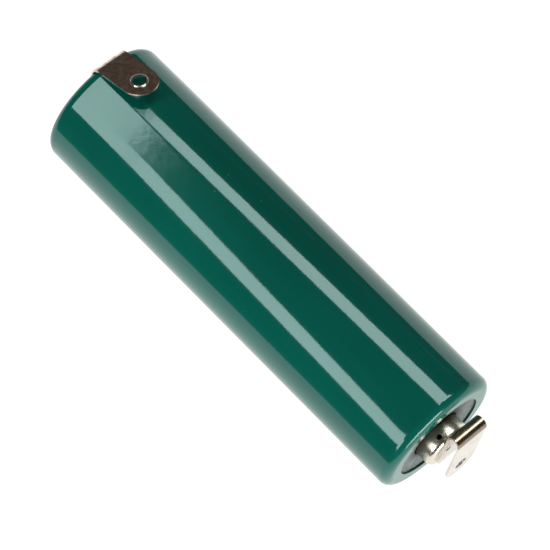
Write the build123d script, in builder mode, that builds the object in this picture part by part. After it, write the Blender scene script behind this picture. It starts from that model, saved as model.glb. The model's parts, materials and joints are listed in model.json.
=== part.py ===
"""Cylindrical rechargeable cell with a solder tag at each end, lying along X.

The origin is on the cell's axis, at the sleeve's negative end.
X runs along the axis toward the positive terminal, Z is up. All sizes are in mm.
"""

import os
from math import cos, radians, sin

from build123d import *

os.makedirs("parts", exist_ok=True)

# Whole cell
sleeve_diameter = 14.2
sleeve_length = 49.05
terminal_rise = 1.45

# Outer sleeve
sleeve_wall = 0.1
sleeve_rim_round = 1.0
sleeve_turn_in = 2.05

# Steel can, with a bead that carries the lid and a lip crimped over it
can_wall = 0.25
lip_reach = 1.55
bead_depth = 0.9
bead_half_width = 1.1
bead_shoulder_round = 0.5
bead_tip_round = 0.35

# Insulating washer under the sleeve's turned-in edge
washer_thickness = 0.2
washer_land = 0.9
washer_step_inset = 0.15
washer_step = 0.15
washer_dish = 0.38
washer_bend_round = 0.22
washer_root_round = 0.2
terminal_gap = 0.15

# Gasket and sealing plate
gasket_upper_lip = 0.5
gasket_lower_lip = 0.45
gasket_wall = 0.55
gasket_lip_reach = 1.55
plate_thickness = 0.4
plate_edge_round = 0.12
vent_port_diameter = 1.6

# Positive cap
terminal_radius = 2.65
cap_wall = 0.3
cap_shoulder_round = 0.55
cap_root_round = 0.25
cap_flange_gap = 0.3
vent_hole_diameter = 0.55
vent_hole_count = 3
vent_hole_height = 0.57

# Resealing vent valve inside the cap
valve_rubber_radius = 1.5
valve_rubber_thickness = 0.8
valve_rubber_round = 0.15
valve_plate_radius = 1.9
valve_plate_thickness = 0.25
valve_plate_round = 0.05
spring_wire = 0.25
spring_mean_radius = 1.45
spring_turns = 2

# Wound electrodes
positive_sheet = 0.65
negative_sheet = 0.4
separator_sheet = 0.15
layer_gap = 0.03
roll_fit = 0.12
smallest_core_radius = 0.9
separator_overhang = 0.5
roll_start = 0.75

# Insulators, collector and lead
lower_insulator_thickness = 0.25
upper_insulator_thickness = 0.25
upper_insulator_fit = 0.2
upper_insulator_hole_radius = 3.2
bead_clear = 0.1
collector_thickness = 0.2
collector_inset = 1.35
collector_centre_hole = 2.0
collector_hole_diameter = 1.1
collector_hole_count = 6
collector_hole_circle = 0.68
lead_width = 3.0
lead_thickness = 0.15
lead_half_run = 2.4
lead_fold_round = 0.4
lead_port_diameter = 2.2

# Solder tags
tag_width = 3.88
tag_thickness = 0.2
tag_hole_diameter = 1.4
tag_collar_diameter = 1.82
tag_collar_height = 0.1
tag_collar_round = 0.09
tag_foot_corner_round = 0.4
weld_spot_diameter = 0.8
weld_pit_depth = 0.05
weld_spot_spacing = 2.4

# Negative tag: welded to the can's floor and folded back over the side
negative_tag_clock = 28.5
negative_tag_lift = 16.3
negative_tag_fold_inset = 0.23
negative_tag_fold_round = 0.95
negative_tag_reach = 4.55
negative_tag_foot_past_axis = 2.2
negative_weld_height = 0.4

# Positive tag: welded to the cap and folded back over itself
positive_tag_clock = 27.7
positive_tag_offset = 0.65
positive_tag_fold_round = 0.74
positive_tag_fold_height = 1.52
positive_tag_fold_end = 4.15
positive_tag_foot_past_axis = 1.9
positive_tag_hole_past_axis = 1.89
positive_weld_height = 0.75

# Levels along the axis, worked out from the sizes above
sleeve_radius = sleeve_diameter / 2
can_radius = sleeve_radius - sleeve_wall
bore_radius = can_radius - can_wall
can_round = sleeve_rim_round - sleeve_wall
opening_radius = sleeve_radius - sleeve_turn_in
terminal_top = sleeve_length + terminal_rise
can_floor = sleeve_wall + can_wall
washer_top = sleeve_length - sleeve_wall
lip_top = washer_top - washer_thickness
lip_under = lip_top - can_wall
plate_top = lip_under - gasket_upper_lip
plate_under = plate_top - plate_thickness
gasket_under = plate_under - gasket_lower_lip
bead_middle = gasket_under - can_wall - bead_half_width
upper_insulator_top = bead_middle - bead_half_width - can_wall - bead_clear
collector_top = upper_insulator_top - upper_insulator_thickness
collector_under = collector_top - collector_thickness

# Winding: every layer shares two arc centres, so a turn grows by one pitch
winding_pitch = positive_sheet + negative_sheet + 2 * separator_sheet + 4 * layer_gap
half_pitch = winding_pitch / 2
winding_radius = bore_radius - roll_fit - half_pitch / 2 + layer_gap
spare_radius = winding_radius - smallest_core_radius - winding_pitch
half_turns = int(spare_radius / half_pitch) + 1
core_radius = winding_radius - winding_pitch - (half_turns - 1) * half_pitch


def bent_sheet(points, rounds, thickness, side):
    """Outline of a sheet that follows the points, thickened to one side."""
    with BuildSketch() as outline:
        with BuildLine():
            FilletPolyline(*points, radius=rounds)
            offset(amount=thickness, side=side)
        make_face()
    return outline.sketch


def wound_band(start_radius, thickness):
    """Cross-section of one layer of the winding, made of half-turn arcs."""
    with BuildSketch() as band:
        with BuildLine():
            for turn in range(half_turns):
                middle = (turn % 2 - 0.5) * half_pitch
                inner = start_radius + turn * half_pitch
                start_angle = 180 * (turn % 2)
                CenterArc((middle, 0), inner, start_angle, 180)
                CenterArc((middle, 0), inner + thickness, start_angle, 180)
            first = start_radius - half_pitch / 2
            Line((first, 0), (first + thickness, 0))
            last_side = 1 if half_turns % 2 == 0 else -1
            last = start_radius + (half_turns - 0.5) * half_pitch
            Line((last_side * last, 0), (last_side * (last + thickness), 0))
        make_face()
    return band.sketch


def side_plane(clock):
    """Plane through the axis: local x along the cell, local y out at the clock angle."""
    turn = radians(clock)
    return Plane(origin=(0, 0, 0), x_dir=(1, 0, 0), z_dir=(0, -cos(turn), sin(turn)))


def punch_hole(tag, face):
    """Rounds the tag's end and pierces its hole, with a collar raised on the face."""
    top = tag_collar_height
    rounded_end = extrude(face * Circle(tag_width / 2), amount=-tag_thickness)
    collar = extrude(face * Circle(tag_collar_diameter / 2), amount=top)
    hole = extrude(face.offset(top) * Circle(tag_hole_diameter / 2), amount=-tag_thickness - top)
    pierced = tag + rounded_end + collar - hole
    rims = pierced.edges().filter_by(GeomType.CIRCLE)
    collar_rim = rims.filter_by(
        lambda rim: abs(rim.radius - tag_collar_diameter / 2) < 0.001
        and abs(face.to_local_coords(rim.arc_center).Z - top) < 0.001
    )
    return fillet(collar_rim, radius=tag_collar_round)


def across_plane(height):
    """Plane across the axis, facing the positive end, with local y up."""
    return Plane.YZ.offset(height)


# Outer sleeve, turned in over both ends
with BuildPart() as sleeve:
    with BuildSketch():
        add(
            bent_sheet(
                [
                    (0, opening_radius),
                    (0, sleeve_radius),
                    (sleeve_length, sleeve_radius),
                    (sleeve_length, opening_radius),
                ],
                [sleeve_rim_round, sleeve_rim_round],
                sleeve_wall,
                Side.RIGHT,
            )
        )
    revolve(axis=Axis.X)

# Deep-drawn steel can
with BuildPart() as can:
    with BuildSketch():
        add(
            bent_sheet(
                [
                    (sleeve_wall, 0),
                    (sleeve_wall, can_radius),
                    (bead_middle - bead_half_width, can_radius),
                    (bead_middle, can_radius - bead_depth),
                    (bead_middle + bead_half_width, can_radius),
                    (lip_top, can_radius),
                    (lip_top, can_radius - lip_reach),
                ],
                [
                    can_round,
                    bead_shoulder_round,
                    bead_tip_round,
                    bead_shoulder_round,
                    can_round,
                ],
                can_wall,
                Side.RIGHT,
            )
        )
    revolve(axis=Axis.X)

# Insulating washer, stepped down inside the can's lip and dished around the terminal
washer_step_radius = can_radius - lip_reach - washer_step_inset
with BuildPart() as insulating_washer:
    with BuildSketch():
        add(
            bent_sheet(
                [
                    (washer_top, can_radius - washer_land),
                    (washer_top, washer_step_radius),
                    (washer_top - washer_step, washer_step_radius - washer_step),
                    (washer_top - washer_dish, terminal_radius + terminal_gap),
                ],
                [washer_bend_round, washer_root_round],
                washer_thickness,
                Side.RIGHT,
            )
        )
    revolve(axis=Axis.X)

# Nylon gasket, gripping the sealing plate's edge
gasket_bore = bore_radius - gasket_lip_reach
plate_radius = bore_radius - gasket_wall
with BuildPart() as gasket:
    with BuildSketch():
        with BuildLine():
            Polyline(
                (gasket_under, gasket_bore),
                (gasket_under, bore_radius),
                (lip_under, bore_radius),
                (lip_under, gasket_bore),
                (plate_top, gasket_bore),
                (plate_top, plate_radius),
                (plate_under, plate_radius),
                (plate_under, gasket_bore),
                close=True,
            )
        make_face()
    revolve(axis=Axis.X)
    outer_rim = gasket.edges().filter_by(GeomType.CIRCLE)
    outer_rim = outer_rim.filter_by(lambda e: e.radius > bore_radius - 0.01)
    upper_rim = outer_rim.sort_by(Axis.X)[-1]
    fillet(upper_rim, radius=can_round - can_wall)

# Sealing plate with the vent port
with BuildPart() as sealing_plate:
    with BuildSketch(across_plane(plate_under)):
        Circle(plate_radius)
        Circle(vent_port_diameter / 2, mode=Mode.SUBTRACT)
    extrude(amount=plate_thickness)

# Positive cap with its vent holes
cap_flange_radius = gasket_bore - cap_flange_gap
with BuildPart() as positive_cap:
    with BuildSketch():
        add(
            bent_sheet(
                [
                    (terminal_top, 0),
                    (terminal_top, terminal_radius),
                    (plate_top + cap_wall, terminal_radius),
                    (plate_top + cap_wall, cap_flange_radius),
                ],
                [cap_shoulder_round, cap_root_round],
                cap_wall,
                Side.LEFT,
            )
        )
    revolve(axis=Axis.X)
    for hole in range(vent_hole_count):
        turn = radians(360 / vent_hole_count * hole)
        flank = Plane(
            origin=(sleeve_length + vent_hole_height, 0, 0),
            x_dir=(1, 0, 0),
            z_dir=(0, sin(turn), cos(turn)),
        )
        with BuildSketch(flank):
            Circle(vent_hole_diameter / 2)
        extrude(amount=terminal_radius + cap_wall, mode=Mode.SUBTRACT)

# Rubber pad that closes the vent port
rubber_top = plate_top + valve_rubber_thickness
with BuildPart() as valve_rubber:
    with BuildSketch(across_plane(plate_top)):
        Circle(valve_rubber_radius)
    extrude(amount=valve_rubber_thickness)
    fillet(valve_rubber.edges().filter_by(GeomType.CIRCLE), radius=valve_rubber_round)

# Plate that spreads the spring's push over the pad
valve_plate_top = rubber_top + valve_plate_thickness
with BuildPart() as valve_plate:
    with BuildSketch(across_plane(rubber_top)):
        Circle(valve_plate_radius)
    extrude(amount=valve_plate_thickness)
    fillet(valve_plate.edges().filter_by(GeomType.CIRCLE), radius=valve_plate_round)

# Valve spring between the plate and the inside of the cap
spring_space = terminal_top - cap_wall - valve_plate_top
spring_rise = spring_space - spring_wire
spring_pitch = spring_rise / spring_turns
with BuildPart() as valve_spring:
    with BuildLine():
        coil = Helix(
            spring_pitch,
            spring_rise,
            spring_mean_radius,
            center=(valve_plate_top + spring_wire / 2, 0, 0),
            direction=(1, 0, 0),
        )
    with BuildSketch(Plane(origin=coil @ 0, z_dir=coil % 0)):
        Circle(spring_wire / 2)
    sweep(path=coil, is_frenet=True)

# Wound layers, from the core outward
separator_length = collector_under - separator_overhang - roll_start
inner_separator_radius = core_radius
positive_radius = inner_separator_radius + separator_sheet + layer_gap
outer_separator_radius = positive_radius + positive_sheet + layer_gap
negative_radius = outer_separator_radius + separator_sheet + layer_gap

with BuildPart() as separator_inner:
    with BuildSketch(across_plane(roll_start)):
        add(wound_band(inner_separator_radius, separator_sheet))
    extrude(amount=separator_length)

with BuildPart() as separator_outer:
    with BuildSketch(across_plane(roll_start)):
        add(wound_band(outer_separator_radius, separator_sheet))
    extrude(amount=separator_length)

# The positive electrode's bare edge stands up to the collector
with BuildPart() as positive_electrode:
    with BuildSketch(across_plane(roll_start + separator_overhang)):
        add(wound_band(positive_radius, positive_sheet))
    extrude(amount=collector_under - roll_start - separator_overhang)

with BuildPart() as negative_electrode:
    with BuildSketch(across_plane(roll_start + separator_overhang)):
        add(wound_band(negative_radius, negative_sheet))
    extrude(amount=separator_length - 2 * separator_overhang)

# Paper disc between the winding and the can's floor
with BuildPart() as lower_insulator:
    with BuildSketch(across_plane(can_floor)):
        Circle(can_radius - can_round)
    extrude(amount=lower_insulator_thickness)

# Perforated collector welded to the positive electrode's edge
collector_radius = bore_radius - collector_inset
with BuildPart() as positive_collector:
    with BuildSketch(across_plane(collector_under)):
        Circle(collector_radius)
        Circle(collector_centre_hole / 2, mode=Mode.SUBTRACT)
        with PolarLocations(collector_radius * collector_hole_circle, collector_hole_count):
            Circle(collector_hole_diameter / 2, mode=Mode.SUBTRACT)
    extrude(amount=collector_thickness)

# Ring that keeps the winding off the bead
with BuildPart() as upper_insulator:
    with BuildSketch(across_plane(collector_top)):
        Circle(bore_radius - upper_insulator_fit)
        Circle(upper_insulator_hole_radius, mode=Mode.SUBTRACT)
    extrude(amount=upper_insulator_thickness)

# Folded ribbon from the collector to the sealing plate
lead_top = plate_under - lead_thickness
with BuildPart() as positive_lead:
    with BuildSketch():
        add(
            bent_sheet(
                [
                    (collector_top, -lead_half_run),
                    (collector_top, lead_half_run),
                    (lead_top, -lead_half_run),
                    (lead_top, lead_half_run),
                ],
                [lead_fold_round, lead_fold_round],
                lead_thickness,
                Side.RIGHT,
            )
        )
    extrude(amount=lead_width / 2, both=True)
    with BuildSketch(across_plane(plate_under)):
        Circle(lead_port_diameter / 2)
    extrude(amount=-2 * lead_thickness, mode=Mode.SUBTRACT)

# Negative solder tag
fold_corner = sleeve_radius - negative_tag_fold_inset
leg_along = cos(radians(negative_tag_lift))
leg_out = sin(radians(negative_tag_lift))
hole_along = negative_tag_reach * leg_along
hole_out = fold_corner + negative_tag_reach * leg_out
clock_y = sin(radians(negative_tag_clock))
clock_z = cos(radians(negative_tag_clock))
negative_leg_face = Plane(
    origin=(
        hole_along - tag_thickness * leg_out,
        (hole_out + tag_thickness * leg_along) * clock_y,
        (hole_out + tag_thickness * leg_along) * clock_z,
    ),
    x_dir=(leg_along, leg_out * clock_y, leg_out * clock_z),
    z_dir=(-leg_out, leg_along * clock_y, leg_along * clock_z),
)
with BuildPart() as negative_tag:
    with BuildSketch(side_plane(negative_tag_clock)):
        add(
            bent_sheet(
                [
                    (0, -negative_tag_foot_past_axis),
                    (0, fold_corner),
                    (hole_along, hole_out),
                ],
                [negative_tag_fold_round],
                tag_thickness,
                Side.LEFT,
            )
        )
    extrude(amount=tag_width / 2, both=True)
    foot_corners = negative_tag.edges().filter_by(Axis.X)
    fillet(foot_corners, radius=tag_foot_corner_round)
    for side in (-1, 1):
        across = side * weld_spot_spacing / 2
        weld_face = Plane(
            origin=(
                -tag_thickness,
                negative_weld_height * clock_y + across * clock_z,
                negative_weld_height * clock_z - across * clock_y,
            ),
            z_dir=(1, 0, 0),
        )
        with BuildSketch(weld_face.offset(tag_thickness)):
            Circle(weld_spot_diameter / 2)
        extrude(amount=sleeve_wall)
        with BuildSketch(weld_face):
            Circle(weld_spot_diameter / 2)
        extrude(amount=weld_pit_depth, taper=30, mode=Mode.SUBTRACT)
negative_tag.part = punch_hole(negative_tag.part, negative_leg_face)

# Positive solder tag
tag_y = sin(radians(positive_tag_clock))
tag_z = cos(radians(positive_tag_clock))
leg_face_height = terminal_top + positive_tag_fold_height


def positive_tag_point(height, along, across=0.0):
    """Point on the positive tag, from its height and its place along and across the tag."""
    sideways = positive_tag_offset + across
    return (
        height,
        along * tag_y + sideways * tag_z,
        along * tag_z - sideways * tag_y,
    )


positive_leg_inside = Plane(
    origin=positive_tag_point(leg_face_height - tag_thickness, -positive_tag_hole_past_axis),
    z_dir=(-1, 0, 0),
)
with BuildPart() as positive_tag:
    with BuildSketch(side_plane(positive_tag_clock).offset(-positive_tag_offset)):
        add(
            bent_sheet(
                [
                    (terminal_top, -positive_tag_foot_past_axis),
                    (terminal_top, positive_tag_fold_end),
                    (leg_face_height, positive_tag_fold_end),
                    (leg_face_height, -positive_tag_hole_past_axis),
                ],
                [positive_tag_fold_round, positive_tag_fold_round],
                tag_thickness,
                Side.RIGHT,
            )
        )
    extrude(amount=tag_width / 2, both=True)
    foot_corners = positive_tag.edges().filter_by(Axis.X).group_by(Axis.X)[0]
    fillet(foot_corners, radius=tag_foot_corner_round)
    for side in (-1, 1):
        weld_face = Plane(
            origin=positive_tag_point(
                terminal_top + tag_thickness,
                positive_weld_height,
                side * weld_spot_spacing / 2,
            ),
            z_dir=(1, 0, 0),
        )
        with BuildSketch(weld_face):
            Circle(weld_spot_diameter / 2)
        extrude(amount=-weld_pit_depth, taper=30, mode=Mode.SUBTRACT)
positive_tag.part = punch_hole(positive_tag.part, positive_leg_inside)

pieces = {
    "sleeve": sleeve,
    "can": can,
    "insulating_washer": insulating_washer,
    "gasket": gasket,
    "sealing_plate": sealing_plate,
    "positive_cap": positive_cap,
    "valve_rubber": valve_rubber,
    "valve_plate": valve_plate,
    "valve_spring": valve_spring,
    "separator_inner": separator_inner,
    "separator_outer": separator_outer,
    "positive_electrode": positive_electrode,
    "negative_electrode": negative_electrode,
    "lower_insulator": lower_insulator,
    "positive_collector": positive_collector,
    "upper_insulator": upper_insulator,
    "positive_lead": positive_lead,
    "negative_tag": negative_tag,
    "positive_tag": positive_tag,
}
for name, piece in pieces.items():
    piece.part.label = name
    export_step(piece.part, f"parts/{name}.step")
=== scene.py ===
import json
from math import cos, radians, sin, sqrt

import bmesh
import bpy
from mathutils import Matrix, Vector


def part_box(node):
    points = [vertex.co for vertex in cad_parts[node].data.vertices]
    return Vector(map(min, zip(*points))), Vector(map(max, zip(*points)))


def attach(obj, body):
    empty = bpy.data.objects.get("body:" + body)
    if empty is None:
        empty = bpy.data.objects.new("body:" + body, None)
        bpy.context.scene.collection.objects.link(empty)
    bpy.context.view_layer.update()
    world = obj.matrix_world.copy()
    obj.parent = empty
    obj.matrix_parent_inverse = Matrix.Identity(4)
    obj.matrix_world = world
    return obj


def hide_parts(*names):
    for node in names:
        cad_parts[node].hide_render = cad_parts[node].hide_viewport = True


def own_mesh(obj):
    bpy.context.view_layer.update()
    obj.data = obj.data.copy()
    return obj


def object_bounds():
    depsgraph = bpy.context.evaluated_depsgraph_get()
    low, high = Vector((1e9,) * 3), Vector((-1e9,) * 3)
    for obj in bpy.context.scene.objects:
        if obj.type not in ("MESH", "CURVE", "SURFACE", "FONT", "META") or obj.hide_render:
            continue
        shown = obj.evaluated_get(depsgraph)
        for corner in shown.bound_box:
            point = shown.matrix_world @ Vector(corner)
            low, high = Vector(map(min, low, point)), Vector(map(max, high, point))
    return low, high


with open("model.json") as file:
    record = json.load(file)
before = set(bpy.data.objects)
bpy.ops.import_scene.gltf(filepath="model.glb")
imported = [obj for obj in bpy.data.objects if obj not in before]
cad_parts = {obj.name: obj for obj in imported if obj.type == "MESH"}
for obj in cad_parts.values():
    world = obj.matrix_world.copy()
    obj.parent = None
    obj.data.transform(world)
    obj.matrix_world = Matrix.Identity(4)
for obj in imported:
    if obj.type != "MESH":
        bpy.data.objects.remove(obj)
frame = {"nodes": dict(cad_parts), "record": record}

mm = 0.001
micron = 0.000001

cad_low, cad_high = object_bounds()
nodes = frame["nodes"]
scene = bpy.context.scene

# ---------------------------------------------------------------- places, in metres
sleeve_low, sleeve_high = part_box("sleeve")
negative_end = sleeve_low.x
positive_end = sleeve_high.x
sleeve_radius = sleeve_high.y
sleeve_rim_round = 1.0 * mm
floor_height = cad_low.z
mounts = {mount["name"]: mount for mount in frame["record"]["mounts"]}
joints = {joint["name"]: joint for joint in frame["record"]["behaviour"]["joints"]}


# ---------------------------------------------------------------- shader tools
class Value:
    """A node's output, such as a number that changes over a surface. Arithmetic on it adds Math nodes."""

    def __init__(self, tree, socket):
        self.tree = tree
        self.socket = socket

    def _math(self, operation, *terms):
        sockets = dict(enumerate(terms))
        return self.tree.node("ShaderNodeMath", {"operation": operation}, sockets)["Value"]

    def __add__(self, other):
        return self._math("ADD", self, other)

    def __radd__(self, other):
        return self._math("ADD", other, self)

    def __sub__(self, other):
        return self._math("SUBTRACT", self, other)

    def __rsub__(self, other):
        return self._math("SUBTRACT", other, self)

    def __mul__(self, other):
        return self._math("MULTIPLY", self, other)

    def __rmul__(self, other):
        return self._math("MULTIPLY", other, self)

    def root(self):
        return self._math("SQRT", self)

    def larger(self, other):
        return self._math("MAXIMUM", self, other)

    def step(self, start, end):
        """Rises smoothly from 0 at start to 1 at end."""
        settings = {"interpolation_type": "SMOOTHSTEP"}
        sockets = {"Value": self, "From Min": start, "From Max": end, "To Min": 0.0, "To Max": 1.0}
        return self.tree.node("ShaderNodeMapRange", settings, sockets)["Result"]


class Tree:
    """A node tree, with the one way to add a node to it."""

    def __init__(self, tree):
        self.tree = tree

    def node(self, kind, settings, sockets):
        """Adds a node: its settings first, then the values or links of its sockets."""
        made = self.tree.nodes.new(kind)
        for name, value in settings.items():
            setattr(made, name, value)
        for name, value in sockets.items():
            self.feed(made.inputs[name], value)
        outputs = {}
        for output in made.outputs:
            if output.enabled and output.name not in outputs:
                outputs[output.name] = Value(self, output)
        return outputs

    def feed(self, socket, value):
        """Links a value to a socket, or sets the socket to a plain number or colour."""
        if isinstance(value, Value):
            self.tree.links.new(value.socket, socket)
        else:
            socket.default_value = value


class Finish(Tree):
    """One material and the nodes that make it. Its patterns lie in the cell's own frame, in metres."""

    def __init__(self, name):
        self.material = bpy.data.materials.new(name)
        self.material.use_nodes = True
        super().__init__(self.material.node_tree)
        self.surface = self.tree.nodes["Principled BSDF"]
        self.place = self.node("ShaderNodeTexCoord", {}, {})["Object"]
        axes = self.node("ShaderNodeSeparateXYZ", {}, {"Vector": self.place})
        self.x, self.y, self.z = axes["X"], axes["Y"], axes["Z"]

    def noise(self, scale, detail=2.0, roughness=0.5, stretch=(1.0, 1.0, 1.0), distortion=0.0):
        """Cloudy pattern from 0 to 1. Scale counts features per metre, and a small stretch draws them out."""
        mapped = self.node("ShaderNodeMapping", {}, {"Vector": self.place, "Scale": stretch})["Vector"]
        sockets = {
            "Vector": mapped,
            "Scale": scale,
            "Detail": detail,
            "Roughness": roughness,
            "Distortion": distortion,
        }
        return self.node("ShaderNodeTexNoise", {}, sockets)["Fac"]

    def grains(self, scale):
        """Distance to the nearest of many scattered grains, in shares of their spacing."""
        return self.node("ShaderNodeTexVoronoi", {}, {"Vector": self.place, "Scale": scale})["Distance"]

    def from_axis(self):
        """Distance from the cell's axis."""
        return (self.y * self.y + self.z * self.z).root()

    def turned_rings(self, scale):
        """Fine rings around the cell's axis, as a lathe or a press leaves them."""
        settings = {"noise_dimensions": "1D"}
        return self.node("ShaderNodeTexNoise", settings, {"W": self.from_axis(), "Scale": scale})["Fac"]

    def distance(self, centre):
        """Distance from a point."""
        settings = {"operation": "DISTANCE"}
        return self.node("ShaderNodeVectorMath", settings, {0: self.place, 1: centre})["Value"]

    def blend(self, amount, first, second):
        """Colour that goes from first to second."""
        sockets = {0: amount, 6: first, 7: second}
        return self.node("ShaderNodeMix", {"data_type": "RGBA"}, sockets)["Result"]

    def bump(self, height, depth, strength):
        """Surface direction of a relief that is depth deep where height reaches 1."""
        sockets = {"Height": height, "Distance": depth, "Strength": strength}
        return self.node("ShaderNodeBump", {}, sockets)["Normal"]

    def set(self, **values):
        """Sets the shader's own sockets, with _ for a space."""
        for name, value in values.items():
            self.feed(self.surface.inputs[name.replace("_", " ")], value)

    def dress(self, *names):
        """Puts this finish on the cell's own nodes."""
        for name in names:
            for slot in nodes[name].material_slots:
                slot.material = self.material


def rgb(red, green, blue):
    return (red, green, blue, 1.0)


black = rgb(0.0, 0.0, 0.0)
white = rgb(1.0, 1.0, 1.0)


# ---------------------------------------------------------------- finishes
def shrink_film():
    """Deep green glossy sleeve: faint flow marks, dust specks, pulled folds at its turned-in ends."""
    film = Finish("green_shrink_film")
    edge, flat = 0.1 * mm, 1.6 * mm
    at_negative_end = 1.0 - (film.x - negative_end).larger(0.0).step(edge, flat)
    at_positive_end = 1.0 - (positive_end - film.x).step(edge, flat)
    turned_in = at_positive_end.larger(at_negative_end)
    cloud = film.noise(140.0, detail=3.0, roughness=0.55, stretch=(0.35, 1.0, 1.0))
    dusty_patches = film.noise(90.0).step(0.54, 0.64)
    dust = (1.0 - film.grains(620.0).step(0.02, 0.05)) * dusty_patches
    colour = film.blend(cloud.step(0.3, 0.7), rgb(0.0003, 0.108, 0.080), rgb(0.0008, 0.126, 0.095))
    colour = film.blend(turned_in * 0.35, colour, rgb(0.004, 0.12, 0.09))
    colour = film.blend(dust * 0.6, colour, rgb(0.16, 0.28, 0.24))
    fine = film.noise(1500.0)
    swell = film.noise(260.0, stretch=(0.25, 1.0, 1.0))
    ripple = film.noise(700.0, stretch=(0.6, 1.0, 1.0))
    folds = film.noise(520.0, detail=1.0, roughness=0.4, stretch=(0.15, 1.0, 1.0)) * turned_in
    height = swell * 0.6 + ripple * 0.6 + fine * 0.12 + folds * 1.2 - dust * 0.2
    scuff = film.noise(420.0, detail=4.0, roughness=0.6, stretch=(0.08, 1.0, 1.0)).step(0.55, 0.8)
    film.set(
        Base_Color=colour,
        Roughness=0.07 + scuff * 0.05 + dust * 0.3 + turned_in * 0.04,
        Normal=film.bump(height, depth=10 * micron, strength=0.8),
        IOR=1.53,
        Specular_Tint=rgb(0.72, 1.0, 0.97),
    )
    return film


def strip_nickel(name, along, clock, bend, hole):
    """Rolled nickel strip: drawn grain, a different tone past its bend, and painted light around its punched
    hole: a painted highlight when the hole's colour is lighter than the strip, painted shade when it is
    darker.

    Along stretches the grain. Clock is the side of the axis that the strip bends at.
    """
    strip = Finish(name)
    grain = strip.noise(900.0, detail=3.0, roughness=0.6, stretch=along)
    stain = strip.noise(1900.0, detail=4.0, roughness=0.7, distortion=0.4)
    blotch = strip.noise(420.0, detail=3.0, roughness=0.6)
    rise = strip.y * sin(clock) + strip.z * cos(clock)
    bent = rise.step(bend["start"], bend["end"])
    stained = stain.step(0.40, 0.62) * (0.15 + bent * bend["stain"])
    # Painted light around the hole: a near-white painted highlight ring on the negative tag, painted shade on
    # the positive tag's bore.
    painted_hole_ring = 1.0 - strip.distance(hole["centre"]).step(hole["reach"], hole["reach"] + 60 * micron)
    colour = strip.blend(blotch.step(0.35, 0.7), rgb(0.78, 0.73, 0.66), rgb(0.69, 0.63, 0.56))
    colour = strip.blend(bent * 0.95, colour, bend["colour"])
    colour = strip.blend(stained, colour, rgb(0.44, 0.27, 0.19))
    colour = strip.blend(painted_hole_ring, colour, hole["colour"])
    height = (grain * 0.5 + stain * 0.4) * (1.0 - painted_hole_ring)
    strip.set(
        Base_Color=colour,
        Metallic=1.0,
        Roughness=0.13 + stain * 0.12 + grain * 0.06 + painted_hole_ring * hole["dulling"],
        Normal=strip.bump(height, depth=6 * micron, strength=0.7),
    )
    return strip


def stained_tag():
    """Negative tag: brown past its fold, with a painted highlight, a near-white ring, around its hole."""
    bend = {"start": 6.6 * mm, "end": 7.1 * mm, "colour": rgb(0.74, 0.68, 0.61), "stain": 0.6}
    # The near-white hole colour is a painted highlight on the collar.
    hole = {
        "centre": tuple(mounts["negative_tag_hole"]["pos_m"]),
        "reach": 0.94 * mm,
        "colour": rgb(0.92, 0.90, 0.86),
        "dulling": -0.06,
    }
    return strip_nickel("negative_tag_nickel", (0.2, 1.0, 1.0), radians(28.5), bend, hole)


def clean_tag():
    """Positive tag: bright, darker olive past its bend, with painted shade on its bore."""
    bend = {"start": 3.1 * mm, "end": 3.7 * mm, "colour": rgb(0.24, 0.21, 0.15), "stain": 0.2}
    # The darker hole colour is painted shade on the bore.
    hole = {
        "centre": tuple(mounts["positive_tag_hole"]["pos_m"]),
        "reach": 0.75 * mm,
        "colour": rgb(0.60, 0.57, 0.56),
        "dulling": 0.25,
    }
    return strip_nickel("positive_tag_nickel", (1.0, 1.0, 0.2), radians(27.7), bend, hole)


def plated_cap():
    """Bright pressed cap with fine turning lines, and painted shade in dark brown low on its side, down in
    the recess.
    """
    cap = Finish("cap_nickel_plate")
    lines = cap.turned_rings(9000.0)
    smudge = cap.noise(500.0, detail=4.0, roughness=0.6)
    tarnish = cap.noise(1100.0, detail=4.0, roughness=0.65).step(0.52, 0.75)
    ragged = (smudge - 0.5) * (0.5 * mm)
    # Painted shade: the cap's side darkens below the sleeve's end, down in the recess.
    painted_recess_shade = 1.0 - (cap.x - positive_end + ragged).step(-0.1 * mm, 0.6 * mm)
    colour = cap.blend(smudge.step(0.35, 0.7), rgb(0.82, 0.78, 0.68), rgb(0.68, 0.62, 0.50))
    colour = cap.blend(tarnish * 0.4, colour, rgb(0.34, 0.29, 0.23))
    colour = cap.blend(painted_recess_shade * 0.8, colour, rgb(0.10, 0.075, 0.055))
    cap.set(
        Base_Color=colour,
        Metallic=1.0,
        Roughness=0.19 + smudge * 0.14 + tarnish * 0.15,
        Normal=cap.bump(lines * 0.4 + smudge * 0.3, depth=5 * micron, strength=0.6),
    )
    return cap


def fibre_washer():
    """Grey pressed fibre board with short pale fibres, and painted shade darkening it around the terminal, in
    the recess.
    """
    board = Finish("washer_fibre_board")
    felt = board.noise(2600.0, detail=4.0, roughness=0.7)
    fibres = board.noise(1800.0, detail=3.0, roughness=0.6, stretch=(1.0, 0.22, 1.0))
    ragged = (felt - 0.5) * (1.4 * mm)
    # Painted shade: the washer darkens near the terminal, in the recess.
    painted_recess_shade = 1.0 - (board.from_axis() + ragged).step(2.7 * mm, 3.8 * mm)
    colour = board.blend(felt.step(0.3, 0.7), rgb(0.115, 0.145, 0.135), rgb(0.20, 0.24, 0.225))
    colour = board.blend(fibres.step(0.58, 0.75) * 0.5, colour, rgb(0.33, 0.36, 0.34))
    colour = board.blend(painted_recess_shade * 0.7, colour, rgb(0.045, 0.038, 0.032))
    board.set(
        Base_Color=colour,
        Roughness=0.62 + felt * 0.25,
        Normal=board.bump(felt + fibres * 0.6, depth=20 * micron, strength=0.8),
    )
    return board


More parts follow.
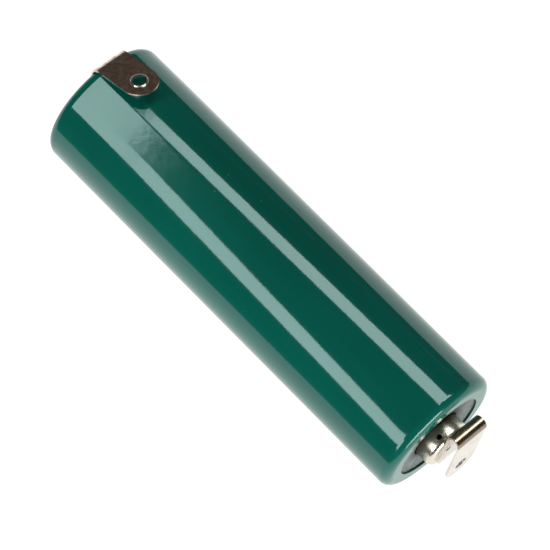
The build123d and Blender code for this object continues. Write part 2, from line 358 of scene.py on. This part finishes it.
def drawn_steel():
    """Nickel-plated can: drawing lines along its wall and rings on its floor."""
    steel = Finish("can_drawn_steel")
    rings = steel.turned_rings(5000.0)
    draw = steel.noise(1500.0, detail=3.0, roughness=0.6, stretch=(0.05, 1.0, 1.0))
    stain = steel.noise(420.0, detail=4.0, roughness=0.62)
    steel.set(
        Base_Color=steel.blend(stain.step(0.35, 0.75), rgb(0.60, 0.59, 0.56), rgb(0.40, 0.38, 0.34)),
        Metallic=1.0,
        Roughness=0.24 + rings * 0.1 + stain * 0.14,
        Normal=steel.bump(rings * 0.5 + draw * 0.4, depth=8 * micron, strength=0.6),
    )
    return steel


def stamped_plate():
    """Nickel-plated stampings inside the cell."""
    plate = Finish("stamped_plate_steel")
    grain = plate.noise(1200.0, detail=3.0, roughness=0.6, stretch=(1.0, 0.2, 1.0))
    blotch = plate.noise(380.0, detail=3.0, roughness=0.6)
    plate.set(
        Base_Color=plate.blend(blotch.step(0.3, 0.7), rgb(0.62, 0.61, 0.58), rgb(0.48, 0.46, 0.43)),
        Metallic=1.0,
        Roughness=0.25 + grain * 0.2,
        Normal=plate.bump(grain, depth=6 * micron, strength=0.6),
    )
    return plate


def spring_wire():
    """Drawn spring wire with a dark oiled tone."""
    wire = Finish("spring_wire_steel")
    grain = wire.noise(3000.0, detail=3.0, roughness=0.6)
    wire.set(
        Base_Color=wire.blend(grain.step(0.3, 0.7), rgb(0.36, 0.36, 0.37), rgb(0.24, 0.24, 0.25)),
        Metallic=1.0,
        Roughness=0.28 + grain * 0.15,
    )
    return wire


def moulded_nylon():
    """Milky gasket nylon."""
    nylon = Finish("gasket_moulded_nylon")
    cloud = nylon.noise(600.0, detail=3.0)
    nylon.set(
        Base_Color=nylon.blend(cloud.step(0.3, 0.7), rgb(0.66, 0.66, 0.60), rgb(0.74, 0.74, 0.68)),
        Roughness=0.42 + cloud * 0.1,
        Normal=nylon.bump(cloud, depth=10 * micron, strength=0.4),
    )
    return nylon


def valve_rubber():
    """Soft black rubber with a dull bloom."""
    rubber = Finish("vent_pad_rubber")
    bloom = rubber.noise(1400.0, detail=4.0, roughness=0.6)
    black_pad, bloomed = rgb(0.018, 0.018, 0.019), rgb(0.045, 0.045, 0.046)
    rubber.set(
        Base_Color=rubber.blend(bloom.step(0.35, 0.75), black_pad, bloomed),
        Roughness=0.7 + bloom * 0.15,
        Normal=rubber.bump(bloom, depth=10 * micron, strength=0.5),
    )
    return rubber


def separator_felt():
    """White non-woven felt."""
    felt = Finish("separator_white_felt")
    fibres = felt.noise(2400.0, detail=5.0, roughness=0.75, stretch=(0.3, 1.0, 1.0))
    felt.set(
        Base_Color=felt.blend(fibres.step(0.3, 0.7), rgb(0.70, 0.70, 0.66), rgb(0.84, 0.84, 0.80)),
        Roughness=0.9,
        Normal=felt.bump(fibres, depth=30 * micron, strength=0.8),
    )
    return felt


def electrode_paste(name, dark, light, scale):
    """Filled electrode sheet, with a grainy pressed face."""
    paste = Finish(name)
    grains = paste.noise(scale, detail=5.0, roughness=0.7)
    paste.set(
        Base_Color=paste.blend(grains.step(0.3, 0.72), dark, light),
        Roughness=0.75 + grains * 0.15,
        Normal=paste.bump(grains, depth=20 * micron, strength=0.8),
    )
    return paste


def filled_foam():
    """Positive electrode."""
    return electrode_paste("positive_filled_foam", rgb(0.03, 0.04, 0.03), rgb(0.09, 0.11, 0.08), 3200.0)


def alloy_powder():
    """Negative electrode."""
    return electrode_paste("negative_alloy_powder", rgb(0.13, 0.13, 0.14), rgb(0.26, 0.26, 0.27), 3800.0)


def insulating_paper():
    """Pressed paper disc."""
    paper = Finish("insulating_paper")
    felt = paper.noise(2200.0, detail=4.0, roughness=0.7)
    paper.set(
        Base_Color=paper.blend(felt.step(0.3, 0.7), rgb(0.56, 0.52, 0.42), rgb(0.68, 0.64, 0.54)),
        Roughness=0.85,
        Normal=paper.bump(felt, depth=10 * micron, strength=0.6),
    )
    return paper


# ---------------------------------------------------------------- dressing the cell
shrink_film().dress("sleeve")
stained_tag().dress("negative_tag")
clean_tag().dress("positive_tag")
plated_cap().dress("positive_cap")
fibre_washer().dress("insulating_washer")
drawn_steel().dress("can")
stamped_plate().dress("sealing_plate", "valve_plate", "positive_collector", "positive_lead")
moulded_nylon().dress("gasket")
valve_rubber().dress("valve_rubber")
separator_felt().dress("separator_inner", "separator_outer")
filled_foam().dress("positive_electrode")
alloy_powder().dress("negative_electrode")
insulating_paper().dress("lower_insulator", "upper_insulator")


def new_object(name, shape, finish):
    """Turns a finished bmesh into an object of the scene."""
    mesh = bpy.data.meshes.new(name)
    shape.to_mesh(mesh)
    shape.free()
    mesh.materials.append(finish.material)
    made = bpy.data.objects.new(name, mesh)
    scene.collection.objects.link(made)
    return made


# ---------------------------------------------------------------- vent spring
def vent_coil():
    """The vent's coil spring, as its own piece with doubled points merged."""
    wire = bmesh.new()
    wire.from_mesh(nodes["valve_spring"].data)
    bmesh.ops.remove_doubles(wire, verts=wire.verts, dist=0.5 * micron)
    return new_object("vent_coil", wire, spring_wire())


foot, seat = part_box("valve_spring")
lift = joints["vent_valve"]["range_m"][1]
coil = vent_coil()
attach(coil, "cell")
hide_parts("valve_spring")
1 - lift / (seat.x - foot.x)
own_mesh(coil)


# ---------------------------------------------------------------- floor
def flat_square(width, depth):
    """Flat rectangle around the origin."""
    square = bmesh.new()
    bmesh.ops.create_grid(square, x_segments=1, y_segments=1, size=0.5)
    bmesh.ops.scale(square, vec=(width, depth, 1.0), verts=square.verts)
    return square


def white_paint():
    """Matt floor paint that also glows a little, so that the floor stays white around the cell."""
    paint = Finish("floor_white_paint")
    paint.set(
        Base_Color=paint.blend(paint.noise(6.0), rgb(0.36, 0.36, 0.36), rgb(0.37, 0.37, 0.37)),
        Roughness=0.9,
        Emission_Color=white,
        Emission_Strength=0.88,
        Specular_IOR_Level=0.0,
    )
    return paint


floor_side = 4.0
floor = new_object("studio_floor", flat_square(floor_side, floor_side), white_paint())
floor.location.z = floor_height

# ---------------------------------------------------------------- camera
axis_middle = Vector(((negative_end + positive_end) / 2, 0.0, 0.0))
camera_place = axis_middle + Vector((0.08325, -0.00011, 0.30434))
camera_tilt = Matrix.Rotation(radians(15.037), 4, "Y")
camera_roll = Matrix.Rotation(radians(44.927), 4, "Z")
camera_data = bpy.data.cameras.new("camera")
camera_data.lens = 209.45
camera_data.sensor_width = 36.0
camera_data.clip_start = 0.01
camera = bpy.data.objects.new("camera", camera_data)
camera.matrix_world = Matrix.Translation(camera_place) @ camera_tilt @ camera_roll
scene.collection.objects.link(camera)
bpy.context.scene.camera = camera

# ---------------------------------------------------------------- room
scene.view_settings.view_transform = "Standard"
scene.view_settings.look = "None"

world = bpy.data.worlds.new("studio_room")
world.use_nodes = True
world.node_tree.nodes.clear()
scene.world = world
room = Tree(world.node_tree)
dim = room.node("ShaderNodeBackground", {}, {"Color": rgb(0.060, 0.046, 0.034)})["Background"]
pale = room.node("ShaderNodeBackground", {}, {"Color": white})["Background"]
seen = room.node("ShaderNodeLightPath", {}, {})["Is Camera Ray"]
either = room.node("ShaderNodeMixShader", {}, {0: seen, 1: dim, 2: pale})["Shader"]
room.node("ShaderNodeOutputWorld", {}, {"Surface": either})

# ---------------------------------------------------------------- light
room_radius = 0.4
card_length = 1.2
card_gap = 0.4 * mm


def on_side(along, clock):
    """Point on the sleeve's side and the way it faces, from millimetres along and a clock angle."""
    outward = Vector((0.0, sin(radians(clock)), cos(radians(clock))))
    return Vector((along * mm, 0.0, 0.0)) + outward * sleeve_radius, outward


def on_rim(tilt, clock):
    """Point on the sleeve's rounded rim and the way it faces, tilted from the side towards the end."""
    across = Vector((0.0, sin(radians(clock)), cos(radians(clock))))
    outward = across * cos(radians(tilt)) + Vector((sin(radians(tilt)), 0.0, 0.0))
    round_middle = Vector((positive_end - sleeve_rim_round, 0.0, 0.0))
    round_middle += across * (sleeve_radius - sleeve_rim_round)
    return round_middle + outward * sleeve_rim_round, outward


def mirrored_place(point, outward):
    """Where a glossy point shows the camera the room, on a wide sphere around the cell's negative end."""
    view = (point - camera_place).normalized()
    mirrored = view - 2.0 * view.dot(outward) * outward
    start = point.dot(mirrored)
    travel = sqrt(start ** 2 + room_radius ** 2 - point.dot(point)) - start
    return point + mirrored * travel


def lamp_glow(name, brightness):
    """Finish that only glows, in plain white."""
    glow = Finish(name)
    glow.set(
        Base_Color=black,
        Specular_IOR_Level=0.0,
        Emission_Color=white,
        Emission_Strength=brightness,
    )
    return glow


def fading_glow(name, brightness, bright_x, dark_x):
    """Glow that fades out along X."""
    glow = lamp_glow(name, brightness)
    glow.set(Emission_Color=glow.blend(glow.x.step(bright_x, dark_x), white, black))
    return glow


def shaped_light(spot, first, last, finish):
    """Glowing sheet whose gloss on the sleeve fills the shape between two rows.

    A row is its place, as spot takes it, and the clock angles of the gloss's two edges.
    """
    sheet = bmesh.new()
    bmesh.ops.create_grid(sheet, x_segments=12, y_segments=12, size=1.0)
    for corner in sheet.verts:
        down = (corner.co.x + 1.0) / 2.0
        over = (corner.co.y + 1.0) / 2.0
        place, left, right = (start + (end - start) * down for start, end in zip(first, last))
        corner.co = mirrored_place(*spot(place, left + (right - left) * over))
    lamp = new_object(finish.material.name, sheet, finish)
    lamp.visible_camera = False
    return lamp


def floor_card(name, near, far):
    """Black card just over the floor, seen only in the gloss on the sleeve's flank."""
    paint = Finish(name)
    paint.set(Base_Color=rgb(0.01, 0.01, 0.01), Roughness=0.9)
    card = new_object(name, flat_square(card_length, far - near), paint)
    card.location = (0.0, (near + far) / 2.0, floor_height + card_gap)
    card.visible_camera = False
    card.visible_shadow = False


# Rows of gloss on the side: millimetres along the cell, then the clock angles of its two edges
band_row, band_last_row = (-6.0, -21.0, 13.0), (8.8, -21.0, 13.0)
haze_row, haze_last_row = (8.8, -8.5, 12.0), (16.0, -10.5, 11.0)
left_row, left_end_row, left_far_row = (9.0, -21.0, -9.3), (52.0, -28.7, -18.7), (110.0, -32.0, -22.0)
right_row, right_end_row, right_far_row = (6.5, 14.0, 22.6), (52.0, 18.2, 28.6), (110.0, 20.5, 31.5)
# Rows of gloss on the rim start with the tilt from the side instead
rim_row, rim_last_row = (42.0, -26.0, 17.0), (52.0, -26.0, 17.0)

window_brightness = 6.8
haze_brightness = 0.8
rim_brightness = 9.0
haze_start = mirrored_place(*on_side(haze_row[0], 0.0)).x
haze_end = mirrored_place(*on_side(haze_last_row[0], 0.0)).x
haze_glow = fading_glow("end_haze", haze_brightness, haze_start, haze_end)

shaped_light(on_side, left_row, left_end_row, lamp_glow("left_strip", window_brightness))
shaped_light(on_side, left_end_row, left_far_row, lamp_glow("left_strip_far", window_brightness))
shaped_light(on_side, right_row, right_end_row, lamp_glow("right_strip", window_brightness))
right_far = shaped_light(
    on_side, right_end_row, right_far_row, lamp_glow("right_strip_far", window_brightness)
)
right_far.visible_diffuse = False
shaped_light(on_side, band_row, band_last_row, lamp_glow("end_panel", window_brightness))
shaped_light(on_side, haze_row, haze_last_row, haze_glow)
shaped_light(on_rim, rim_row, rim_last_row, lamp_glow("rim_line", rim_brightness))

floor_card("right_card", 0.042, 0.9)
floor_card("left_card", -0.9, -0.16)
